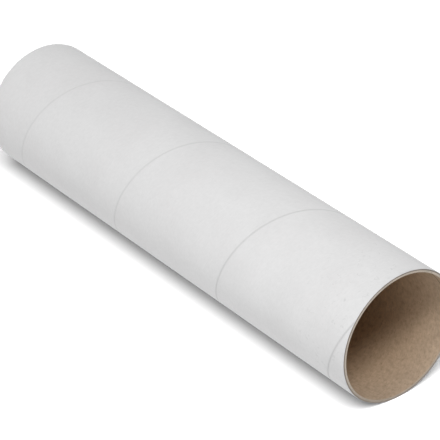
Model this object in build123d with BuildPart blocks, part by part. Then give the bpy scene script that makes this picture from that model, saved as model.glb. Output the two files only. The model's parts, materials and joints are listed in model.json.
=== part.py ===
"""Open cardboard mailing tube, wound and glued as one piece and cut square at both ends.

The tube stands on one end. +Z runs along its axis, and the origin is the centre of the
lower end. Sizes are in millimetres.
"""

import os

from build123d import *

# Driving dimensions
tube_length = 330.0
bore_diameter = 75.0
wall_thickness = 2.0
rim_edge_radius = 0.15  # the blunted edges that the cutting knife leaves on both rims

# The plugs that close the tube fit its bore, so the wall is added outside the bore.
bore_radius = bore_diameter / 2
outer_radius = bore_radius + wall_thickness

# The wound wall: a ring extruded along the tube's axis, with its four rim edges blunted
with BuildPart() as tube:
    with BuildSketch(Plane.XY):
        Circle(outer_radius)
        Circle(bore_radius, mode=Mode.SUBTRACT)
    extrude(amount=tube_length)
    fillet(tube.edges().filter_by(GeomType.CIRCLE), radius=rim_edge_radius)

tube.part.label = "tube"

os.makedirs("parts", exist_ok=True)
export_step(tube.part, "parts/tube.step")
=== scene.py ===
# The looks of the cardboard mailing tube: its white liner with the butt seam where the turns
# of the liner meet, its bare kraft bore, and the cut edges of its plies on both rims.
# Sizes are in metres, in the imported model's frame: +Z runs along the tube, from z = 0.

import json
from math import atan2, ceil, cos, pi, radians, sin, tau

import bmesh
import bpy
from mathutils import Matrix, Vector, noise


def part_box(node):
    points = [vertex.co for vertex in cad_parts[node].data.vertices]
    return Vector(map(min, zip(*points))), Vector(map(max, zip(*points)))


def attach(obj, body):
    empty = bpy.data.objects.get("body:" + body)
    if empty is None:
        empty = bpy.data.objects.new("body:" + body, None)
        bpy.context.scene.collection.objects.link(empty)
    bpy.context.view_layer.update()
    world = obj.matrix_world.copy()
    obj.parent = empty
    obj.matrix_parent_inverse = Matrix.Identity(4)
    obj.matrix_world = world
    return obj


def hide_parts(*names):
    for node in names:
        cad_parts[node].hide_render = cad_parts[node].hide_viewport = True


MM = 0.001

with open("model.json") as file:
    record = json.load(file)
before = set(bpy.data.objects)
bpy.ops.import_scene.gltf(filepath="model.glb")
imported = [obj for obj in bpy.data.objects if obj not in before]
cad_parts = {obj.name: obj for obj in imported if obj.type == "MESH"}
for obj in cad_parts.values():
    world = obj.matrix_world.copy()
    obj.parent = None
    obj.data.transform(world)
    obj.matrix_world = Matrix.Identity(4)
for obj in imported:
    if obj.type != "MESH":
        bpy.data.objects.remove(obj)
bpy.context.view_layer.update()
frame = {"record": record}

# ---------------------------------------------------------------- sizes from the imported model

low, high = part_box("tube")
tube_length = high.z - low.z
radii = {mount["name"]: mount["dims"].get("r_mm", 0) * MM for mount in frame["record"]["mounts"]}
outer_radius = radii["outside"]
bore_radius = radii["upper_mouth"]
wall = outer_radius - bore_radius
mid_wall = (outer_radius + bore_radius) / 2

# ---------------------------------------------------------------- sizes of the winding

# The tube lies on a floor for its portrait, with this side uppermost.
lying_up = Vector((-1, 1, 0)).normalized()
along = Vector((0, 0, 1))
across = along.cross(lying_up)
up_angle = atan2(lying_up.y, lying_up.x)

columns = 360  # around the tube
seam_lead = 95.4 * MM  # how far the strips climb in one turn
liner_seam_height = 58.4 * MM  # where the liner's seam crosses the uppermost line
inner_seam_height = 21.0 * MM  # the same for the innermost ply
rows_between_seams = 10
seam_depth = 0.11 * MM
seam_half_width = 0.05 * MM
seam_shoulder = 0.09 * MM  # over which each side of the seam rounds into the gap
seam_flat = 0.42 * MM  # a narrow row beside each shoulder, which keeps its shading off the paper
seam_stain_and_shade = 0.45 * MM  # past that, the width over which the grey beside the seam fades out: glue stain and painted shade
seam_floor_share = 0.7  # of half the gap's width, the share over which its bottom is flat
seam_lip_depth = 0.55  # how deep the lip of the gap lies, as a share of its depth
# how dark the seam is painted in the gap, at its lip, on its shoulders and beside it: a dark joint,
# and painted shade of the groove
gap_darkness, lip_darkness, shoulder_darkness, beside_darkness = 0.7, 0.55, 0.4, 0.28
seam_growth = 1.2  # how much wider and darker the seam gets over the tube's length, as a share
seam_weakest = 0.7  # the least it comes down to, towards the tube's foot
seam_unevenness = 0.5  # how much wider or narrower it gets in places, as a share
seam_patch = 9.0 * MM  # how far apart, along the seam, its wide and narrow places are

rim_edge = 0.15 * MM  # the blunted edges of the rims
edge_facet = rim_edge * (1 - cos(pi / 4))  # how far the middle of a blunted edge is cut back
liner_thickness = 0.20 * MM
board_plies = 4
glue_line_half = 0.03 * MM
glue_line_depth = 0.06 * MM
ply_step = 0.02 * MM  # by which every other ply is cut lower
torn_fibre = 0.03 * MM
torn_patch = 1.5 * MM
rim_noise_gap = 7  # how far apart the two rims read the noise, so that their torn fibre differs

cut_tolerance = 1e-9  # how near to a cut's plane a vertex is taken as lying in it
on_the_cut = 1e-7  # how near to a cut's height an edge has to be to count as left by it

LINER, KRAFT, EDGE = range(3)  # places in the tube's list of materials


# ---------------------------------------------------------------- the tube's mesh

def seam_rows(width_below, width_above):
    """Each row across one turn: height above the seam, share of its depth, and darkness, which is the
    dark joint and painted shade in and beside the groove.
    """
    sides = []
    for width in (width_below, width_above):
        shoulder = width + seam_shoulder
        beside = shoulder + seam_flat
        rows = [
            (0, 1, gap_darkness),
            (seam_floor_share * width, 1, gap_darkness),
            (width, seam_lip_depth, lip_darkness),
            (shoulder, 0, shoulder_darkness),
            (beside, 0, beside_darkness),
            (beside + seam_stain_and_shade, 0, 0),
        ]
        sides.append(rows)
    below, above = sides
    first = below[-1][0]
    step = (seam_lead - above[-1][0] - first) / rows_between_seams
    between = [(first + step * n, 0, 0) for n in range(1, rows_between_seams)]
    next_seam = [(seam_lead - height, *marks) for height, *marks in reversed(above[1:])]
    return below + between + next_seam


def seam_strength(height):
    """How open and dark the seam is at this height. It is 1 halfway up the tube."""
    return max(seam_weakest, 1 + seam_growth * (height / tube_length - 1 / 2))


def seam_width(turn, start, radius):
    """Half the width of the gap, this many turns along the seam. It is a little uneven."""
    place = Vector((turn * tau * radius / seam_patch, radius / MM, 0))
    uneven = 1 + seam_unevenness * noise.noise(place)
    return seam_half_width * uneven * seam_strength(start + turn * seam_lead)


def wound_skin(mesh, layers, radius, inward, seam_height, finish):
    """One wound face of the wall, with its seam as a groove. It runs past both ends of the tube.

    The groove goes inwards where inward is +1, and outwards where it is -1.
    """
    uv_layer, seam_layer = layers
    start = seam_height - seam_lead * (ceil(seam_height / seam_lead) + 1)
    steps = columns * ceil((tube_length - start) / seam_lead + 1)
    arc = tau * radius / columns
    grid = []
    for step in range(steps + 1):
        turn = step / columns
        angle = up_angle - tau * turn
        line = []
        widths = [seam_width(turn + n, start, radius) for n in (0, 1)]  # at the strip's foot and top
        for height, depth, darkness in seam_rows(*widths):
            r = radius - inward * depth * seam_depth
            z = start + seam_lead * turn + height
            vertex = mesh.verts.new((r * cos(angle), r * sin(angle), z))
            # the seam's darkness: the dark joint and painted shade in and beside the groove
            vertex[seam_layer] = darkness * seam_strength(z)
            line.append((vertex, Vector((step * arc, height))))
        grid.append(line)
    for step in range(steps - columns):
        for row, (here, after) in enumerate(zip(grid[step], grid[step + 1])):
            if row + 1 < len(grid[step]):
                above, above_after = grid[step][row + 1], grid[step + 1][row + 1]
            else:  # the top of the strip is the foot of its next turn
                above = (grid[step + columns][0][0], Vector((here[1].x, seam_lead)))
                above_after = (grid[step + columns + 1][0][0], Vector((after[1].x, seam_lead)))
            quad = [here, after, above_after, above]
            face = mesh.faces.new([vertex for vertex, _ in quad])
            face.material_index = finish
            for loop, (_, place) in zip(face.loops, quad):
                loop[uv_layer].uv = place
            if inward < 0:
                face.normal_flip()


def cut_at(mesh, height, side):
    """Takes away what lies beyond height on that side, +1 above or -1 below."""
    bmesh.ops.bisect_plane(
        mesh,
        geom=mesh.verts[:] + mesh.edges[:] + mesh.faces[:],
        plane_co=(0, 0, height),
        plane_no=(0, 0, side),
        clear_outer=True,
        dist=cut_tolerance,
    )


def rim_profile():
    """Each ring over the cut wall, inwards: radius, depth below the rim, finish and glue."""
    ply = (wall - liner_thickness) / board_plies
    rings = [
        (outer_radius - edge_facet, edge_facet, LINER, 0),
        (outer_radius - rim_edge, 0, LINER, 0),
    ]
    for n in range(board_plies):
        r = outer_radius - liner_thickness - ply * n
        lower = ply_step * (n % 2)
        rings += [
            (r + glue_line_half, lower / 2, LINER if n == 0 else EDGE, 0),
            (r, glue_line_depth + lower, EDGE, 1),
            (r - glue_line_half, lower, EDGE, 0),
            (r - ply / 2, lower / 2, EDGE, 0),
        ]
    rings += [
        (bore_radius + rim_edge, 0, EDGE, 0),
        (bore_radius + edge_facet, edge_facet, EDGE, 0),
    ]
    return rings


def open_edge(mesh, height, outside):
    """The edges that the cut left on one skin at one end."""
    return [
        edge
        for edge in mesh.edges
        if edge.is_boundary
        and all(abs(vertex.co.z - height) < on_the_cut for vertex in edge.verts)
        and (edge.verts[0].co.xy.length > mid_wall) == outside
    ]


def rim(mesh, seam_layer, height, side):
    """The cut end of the wall: a ring for each ply, a fine glue line between plies, and torn fibre."""
    rings = []
    for r, depth, finish, glue in rim_profile():
        ring = []
        for column in range(columns):
            angle = up_angle - tau * column / columns
            place = Vector((r * cos(angle), r * sin(angle), 0))
            tear = noise.noise(place / torn_patch + along * rim_noise_gap * side)
            torn = torn_fibre * max(0, tear) if depth else 0
            vertex = mesh.verts.new(place + along * (height - side * (depth + torn)))
            vertex[seam_layer] = glue
            ring.append(vertex)
        rings.append((ring, finish))
    for (outer, _), (inner, finish) in zip(rings, rings[1:]):
        for column in range(columns):
            after = (column + 1) % columns
            face = mesh.faces.new([outer[column], outer[after], inner[after], inner[column]])
            face.material_index = finish
    for outside, (ring, _) in ((True, rings[0]), (False, rings[-1])):
        ring_edges = [mesh.edges.get(pair) for pair in zip(ring, ring[1:] + ring[:1])]
        skin_edges = open_edge(mesh, height - side * rim_edge, outside)
        for face in bmesh.ops.bridge_loops(mesh, edges=ring_edges + skin_edges)["faces"]:
            face.material_index = LINER if outside else KRAFT


def wound_tube():
    """The whole tube as one closed mesh."""
    mesh = bmesh.new()
    uv_layer = mesh.loops.layers.uv.new("wound")
    seam_layer = mesh.verts.layers.float.new("seam")
    layers = (uv_layer, seam_layer)
    wound_skin(mesh, layers, outer_radius, 1, liner_seam_height, LINER)
    wound_skin(mesh, layers, bore_radius, -1, inner_seam_height, KRAFT)
    for height, side in ((tube_length, 1), (0, -1)):
        cut_at(mesh, height - side * rim_edge, side)
        rim(mesh, seam_layer, height, side)
    loose = [vertex for vertex in mesh.verts if not vertex.link_faces]
    bmesh.ops.delete(mesh, geom=loose, context="VERTS")
    bmesh.ops.recalc_face_normals(mesh, faces=mesh.faces[:])
    for face in mesh.faces:
        face.smooth = True
    data = bpy.data.meshes.new("wound_tube")
    mesh.to_mesh(data)
    mesh.free()
    return data


# ---------------------------------------------------------------- materials

class Nodes:
    """Adds nodes to one node tree. A value that is an output is linked, and any other is set."""

    def __init__(self, tree):
        self.tree = tree
        tree.nodes.clear()

    def put(self, socket, value):
        if isinstance(value, bpy.types.NodeSocket):
            self.tree.links.new(value, socket)
        elif socket.type == "RGBA" and len(value) == 3:
            socket.default_value = (*value, 1)
        else:
            socket.default_value = value

    def add(self, kind, inputs=None, out=0, **settings):
        node = self.tree.nodes.new(kind)
        for name, value in settings.items():
            setattr(node, name, value)
        for name, value in (inputs or {}).items():
            self.put(node.inputs[name], value)
        return node.outputs[out] if node.outputs else node

    def math(self, operation, a, b=0.0):
        return self.add("ShaderNodeMath", {0: a, 1: b}, operation=operation)

    def vector(self, operation, a, b=(0, 0, 0), out="Vector"):
        return self.add("ShaderNodeVectorMath", {0: a, 1: b}, out=out, operation=operation)

    def remap(self, value, source=(0.0, 1.0), target=(0.0, 1.0)):
        """The value, taken linearly from one range to another, and no further than its ends."""
        from_low, from_high = source
        to_low, to_high = target
        ends = {"From Min": from_low, "From Max": from_high, "To Min": to_low, "To Max": to_high}
        return self.add("ShaderNodeMapRange", {"Value": value, **ends})

    def noise(self, place, grain, detail=3.0, roughness=0.55, stretch=1.0):
        """Noise about 0.5 with grains this many metres wide, and stretch times as long along x."""
        scale = (1 / (grain * stretch), 1 / grain, 1 / grain)
        placed = self.add("ShaderNodeMapping", {"Vector": place, "Scale": scale})
        wanted = {"Vector": placed, "Scale": 1.0, "Detail": detail, "Roughness": roughness}
        return self.add("ShaderNodeTexNoise", wanted)

    def ramp(self, value, stops):
        """A colour ramp with (place, colour) stops, where a colour may be one grey number."""
        node = self.tree.nodes.new("ShaderNodeValToRGB")
        self.tree.links.new(value, node.inputs["Fac"])
        elements = node.color_ramp.elements
        while len(elements) < len(stops):
            elements.new(0.5)
        for element, (place, colour) in zip(elements, stops):
            shade = colour if isinstance(colour, tuple) else (colour, colour, colour)
            element.position = place
            element.color = (*shade, 1)
        return node.outputs["Color"]

    def mix(self, factor, a, b, blend="MIX"):
        node = self.tree.nodes.new("ShaderNodeMix")
        node.data_type = "RGBA"
        node.blend_type = blend
        for socket, value in zip([s for s in node.inputs if s.enabled], (factor, a, b)):
            self.put(socket, value)
        return next(s for s in node.outputs if s.enabled)

    def tinted(self, colour, tint):
        return self.mix(1.0, colour, tint, "MULTIPLY")


def material(name):
    made = bpy.data.materials.new(name)
    made.use_nodes = True
    return made, Nodes(made.node_tree)


def paper_surface(nodes, colour, roughness, height, relief, specular):
    """The paper's shader: colour and roughness from nodes, and height as bump of this relief."""
    bump = nodes.add("ShaderNodeBump", {"Height": height, "Distance": relief, "Strength": 1.0})
    paper = {
        "Base Color": colour,
        "Roughness": roughness,
        "Normal": bump,
        "Specular IOR Level": specular,
    }
    shader = nodes.add("ShaderNodeBsdfPrincipled", paper)
    nodes.add("ShaderNodeOutputMaterial", {"Surface": shader})


def liner_material():
    """White clay-coated paper: nearly even, with faint clouds, fine fibre, specks and a dark seam,
    partly painted shade.

    It is a little greyer, with thin scuffs, towards the head of the tube.
    """
    greyer_head_length = 75 * MM
    scuff_width = 0.02  # how far from the noise's middle value a scuff still shows
    scuff_grey = (0.66, 0.66, 0.66)
    seam_grey = (0.61, 0.61, 0.61)
    made, nodes = material("white_liner")
    place = nodes.add("ShaderNodeTexCoord", out="Object")
    strip = nodes.add("ShaderNodeUVMap", uv_map="wound")

    clouds = nodes.noise(place, 22 * MM, detail=4)
    tints = nodes.noise(place, 45 * MM, detail=2)
    mottle = nodes.noise(place, 2.2 * MM, detail=2)
    fibre = nodes.noise(strip, 1.1 * MM, detail=5, roughness=0.7, stretch=3)
    specks = nodes.noise(place, 1.2 * MM, detail=1)
    colour = nodes.ramp(clouds, [(0.3, 0.797), (0.7, 0.828)])
    warm, cool = (1.0, 0.994, 0.996), (0.999, 0.998, 1.0)
    colour = nodes.tinted(colour, nodes.ramp(tints, [(0.35, warm), (0.65, cool)]))
    colour = nodes.tinted(colour, nodes.ramp(mottle, [(0.3, 0.97), (0.7, 1.0)]))
    colour = nodes.tinted(colour, nodes.ramp(fibre, [(0.3, 0.965), (0.6, 1.0)]))
    colour = nodes.tinted(colour, nodes.ramp(specks, [(0.22, 0.96), (0.28, 1.0)]))

    height_up = nodes.add("ShaderNodeSeparateXYZ", {0: place}, out="Z")
    towards_head = nodes.remap(height_up, (tube_length - greyer_head_length, tube_length))
    colour = nodes.tinted(colour, nodes.ramp(towards_head, [(0.0, 1.0), (1.0, 0.965)]))
    off_middle = nodes.math("SUBTRACT", nodes.noise(place, 7 * MM, detail=2), 0.5)
    scuffs = nodes.remap(nodes.math("ABSOLUTE", off_middle), (0.0, scuff_width), (1.0, 0.0))
    broken = nodes.ramp(nodes.noise(place, 3 * MM), [(0.53, 0.0), (0.6, 1.0)])
    scuffs = nodes.math("MULTIPLY", nodes.math("MULTIPLY", scuffs, broken), towards_head)
    colour = nodes.mix(scuffs, colour, scuff_grey)
    # the seam's grey: a dark joint, and painted shade in and beside its groove
    seam = nodes.add("ShaderNodeAttribute", attribute_name="seam", out="Fac")
    colour = nodes.mix(seam, colour, seam_grey)

    roughness = nodes.remap(fibre, target=(0.5, 0.7))
    height = nodes.math("ADD", nodes.math("MULTIPLY", fibre, 0.5), nodes.math("MULTIPLY", clouds, 0.8))
    paper_surface(nodes, colour, roughness, height, relief=0.12 * MM, specular=0.3)
    return made


def kraft_material():
    """Bare brown kraft: mottled, with short fibres along the strip, and darker specks.

    It is a warmer brown deeper in the bore, away from the mouths.
    """
    pale, brown, dark = (0.705, 0.54, 0.392), (0.625, 0.477, 0.343), (0.50, 0.377, 0.267)
    speck, warmth, seam_brown = (0.55, 0.52, 0.49), (1.0, 0.91, 0.79), (0.16, 0.11, 0.07)
    untinted = (1.0, 1.0, 1.0)
    warm_tint_starts, warm_tint_full = 6 * MM, 50 * MM  # how far in from each mouth the warm tint begins, and where it is full
    made, nodes = material("brown_kraft")
    place = nodes.add("ShaderNodeTexCoord", out="Object")
    strip = nodes.add("ShaderNodeUVMap", uv_map="wound")

    clouds = nodes.noise(place, 9 * MM, detail=3)
    mottle = nodes.noise(place, 2.2 * MM, detail=3, roughness=0.6)
    fibre = nodes.noise(strip, 0.9 * MM, detail=5, roughness=0.7, stretch=4)
    specks = nodes.noise(strip, 0.7 * MM, detail=2, stretch=1.6)
    colour = nodes.ramp(mottle, [(0.25, dark), (0.5, brown), (0.75, pale)])
    colour = nodes.tinted(colour, nodes.ramp(clouds, [(0.3, 0.92), (0.7, 1.0)]))
    colour = nodes.tinted(colour, nodes.ramp(fibre, [(0.3, 0.79), (0.7, 1.0)]))
    colour = nodes.tinted(colour, nodes.ramp(specks, [(0.26, speck), (0.36, untinted)]))

    height_up = nodes.add("ShaderNodeSeparateXYZ", {0: place}, out="Z")
    middle = tube_length / 2
    from_middle = nodes.math("ABSOLUTE", nodes.math("SUBTRACT", height_up, middle))
    towards_mouths = nodes.remap(from_middle, (middle - warm_tint_full, middle - warm_tint_starts))
    colour = nodes.tinted(colour, nodes.ramp(towards_mouths, [(0.0, warmth), (1.0, untinted)]))
    # the inner seam's dark brown: a dark joint, and painted shade in and beside its groove
    seam = nodes.add("ShaderNodeAttribute", attribute_name="seam", out="Fac")
    colour = nodes.mix(seam, colour, seam_brown)

    roughness = nodes.remap(fibre, target=(0.75, 0.95))
    height = nodes.math("ADD", fibre, nodes.math("MULTIPLY", mottle, 0.8))
    paper_surface(nodes, colour, roughness, height, relief=0.2 * MM, specular=0.2)
    return made


def edge_material():
    """The cut board: grey-brown plies under the liner, cream plies towards the bore, and cut fibre.

    It is browner on the side that the tube lies on.
    """
    grey, tan, cream = (0.36, 0.31, 0.27), (0.66, 0.56, 0.46), (0.90, 0.80, 0.68)
    low_brown, glue_brown = (0.50, 0.41, 0.33), (0.12, 0.09, 0.065)
    brown_from, brown_to, most_brown = 0.2, 0.8, 0.6  # where it browns, as shares of the radius down
    made, nodes = material("cut_board")
    place = nodes.add("ShaderNodeTexCoord", out="Object")

    flat = nodes.vector("MULTIPLY", place, (1, 1, 0))
    radius = nodes.vector("LENGTH", flat, out="Value")
    share = nodes.remap(radius, (outer_radius, bore_radius))  # of the wall, inwards
    fibre = nodes.noise(place, 0.4 * MM, detail=4, roughness=0.7)
    patches = nodes.noise(place, 5 * MM, detail=3)
    plies = [(0.34, grey), (0.42, tan), (0.48, cream), (0.95, cream), (1.0, tan)]
    colour = nodes.ramp(share, plies)
    colour = nodes.tinted(colour, nodes.ramp(fibre, [(0.3, 0.78), (0.65, 1.0)]))
    colour = nodes.tinted(colour, nodes.ramp(patches, [(0.3, 0.86), (0.6, 1.0)]))

    lowness = nodes.vector("DOT_PRODUCT", place, -lying_up / outer_radius, out="Value")
    browner = nodes.remap(lowness, (brown_from, brown_to), (0.0, most_brown))
    colour = nodes.mix(browner, colour, low_brown)
    glue = nodes.add("ShaderNodeAttribute", attribute_name="seam", out="Fac")
    colour = nodes.mix(glue, colour, glue_brown)

    roughness = nodes.remap(fibre, target=(0.8, 0.95))
    paper_surface(nodes, colour, roughness, fibre, relief=0.08 * MM, specular=0.2)
    return made


# ---------------------------------------------------------------- the portrait's floor, light, camera

def lying_direction(heading, elevation):
    """A direction from the lying tube, in degrees: heading from its axis, elevation from its floor."""
    heading, elevation = radians(heading), radians(elevation)
    level = along * cos(heading) + across * sin(heading)
    return level * cos(elevation) + lying_up * sin(elevation)


def portrait_floor():
    """The white floor under the lying tube, with a lamp of its own for the tube's soft shadow.

    Only the camera sees it, and only from the tube's side of it.
    """
    half_side = 3.0
    clearance = 0.02 * MM
    in_shadow = 0.166  # how bright the floor still is where its lamp is hidden
    dark_grey = (0.02, 0.02, 0.02)  # so dark that only its own strong lamp shows on it
    middle = along * tube_length / 2 - lying_up * (outer_radius + clearance)
    signs = ((-1, -1), (1, -1), (1, 1), (-1, 1))
    corners = [middle + (along * a + across * b) * half_side for a, b in signs]
    mesh = bpy.data.meshes.new("portrait_floor")
    mesh.from_pydata(corners, [], [(0, 1, 2, 3)])
    if mesh.polygons[0].normal.dot(lying_up) < 0:
        mesh.flip_normals()
    made, nodes = material("portrait_floor")
    lit = nodes.add("ShaderNodeBsdfDiffuse", {"Color": dark_grey})
    glow = nodes.add("ShaderNodeEmission", {"Strength": in_shadow})
    white = nodes.add("ShaderNodeAddShader", {0: lit, 1: glow})
    clear = nodes.add("ShaderNodeBsdfTransparent")
    behind = nodes.add("ShaderNodeNewGeometry", out="Backfacing")
    surface = nodes.add("ShaderNodeMixShader", {0: behind, 1: white, 2: clear})
    nodes.add("ShaderNodeOutputMaterial", {"Surface": surface})
    mesh.materials.append(made)
    floor_object = bpy.data.objects.new("portrait_floor", mesh)
    floor_object.visible_diffuse = False
    floor_object.visible_glossy = False
    floor_object.visible_transmission = False
    floor_object.visible_shadow = False
    bpy.context.scene.collection.objects.link(floor_object)
    lit_alone = bpy.data.collections.new("lit_by_floor_softbox")
    lit_alone.objects.link(floor_object)
    lamp = softbox("floor_softbox", heading=45, elevation=55, distance=3.0, size=2.42, power=8300)
    lamp.light_linking.receiver_collection = lit_alone


def studio_world():
    """A pale studio all round: white to the camera, and as a light dimmer in front of the mouth."""
    world = bpy.data.worlds.new("studio")
    world.use_nodes = True
    bpy.context.scene.world = world
    nodes = Nodes(world.node_tree)
    dimmest, brightest = 0.18, 0.95
    brightest_side = lying_direction(heading=176, elevation=-10)
    direction = nodes.add("ShaderNodeTexCoord", out="Generated")
    facing = nodes.vector("DOT_PRODUCT", direction, brightest_side, out="Value")
    strength = nodes.remap(facing, (-1.0, 1.0), (dimmest, brightest))
    light = nodes.add("ShaderNodeBackground", {"Color": (1, 1, 1, 1), "Strength": strength})
    white = nodes.add("ShaderNodeBackground", {"Color": (1, 1, 1, 1), "Strength": 1.0})
    seen = nodes.add("ShaderNodeLightPath", out="Is Camera Ray")
    surface = nodes.add("ShaderNodeMixShader", {0: seen, 1: light, 2: white})
    nodes.add("ShaderNodeOutputWorld", {"Surface": surface})


def aim(thing, target, up):
    """Turns a camera or lamp at target, with up towards the top of its picture."""
    back = (thing.location - target).normalized()
    right = up.cross(back).normalized()
    turn = Matrix((right, back.cross(right), back)).transposed()
    thing.rotation_euler = turn.to_euler()


def softbox(name, heading, elevation, distance, size, power):
    """A round soft light that the camera doesn't see, this far from the middle of the mouth."""
    lamp = bpy.data.lights.new(name, "AREA")
    lamp.shape = "DISK"
    lamp.size = size
    lamp.energy = power
    placed = bpy.data.objects.new(name, lamp)
    bpy.context.scene.collection.objects.link(placed)
    target = along * tube_length
    placed.location = target + lying_direction(heading, elevation) * distance
    placed.visible_camera = False
    aim(placed, target, lying_up)
    return placed


def portrait_camera():
    """A long lens, level with the floor that the tube lies on, that looks down on the tube's side.

    Its place and lens come from a fit to the tube's outline in the photograph.
    """
    aim_share = 0.5351  # of the tube's length
    aim_drop = 1.1 * MM
    distance = 1.3175
    target = along * tube_length * aim_share - lying_up * aim_drop
    camera = bpy.data.cameras.new("portrait")
    camera.sensor_width = 36
    camera.lens = 188.2
    placed = bpy.data.objects.new("portrait", camera)
    bpy.context.scene.collection.objects.link(placed)
    placed.location = target + lying_direction(heading=38.27, elevation=31.26) * distance
    aim(placed, target, lying_up)
    bpy.context.scene.camera = placed


# ---------------------------------------------------------------- the scene

tube = bpy.data.objects.new("wound_tube", wound_tube())
bpy.context.scene.collection.objects.link(tube)
for made in (liner_material(), kraft_material(), edge_material()):
    tube.data.materials.append(made)
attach(tube, "root")
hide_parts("tube")

portrait_floor()
studio_world()
softbox("key_softbox", heading=30, elevation=62, distance=1.4, size=0.47, power=9.3)
softbox("fill_softbox", heading=60, elevation=-10, distance=1.2, size=1.0, power=3.7)
softbox("back_softbox", heading=-105, elevation=-43, distance=0.9, size=0.5, power=2.0)
portrait_camera()
bpy.context.scene.view_settings.view_transform = "Standard"
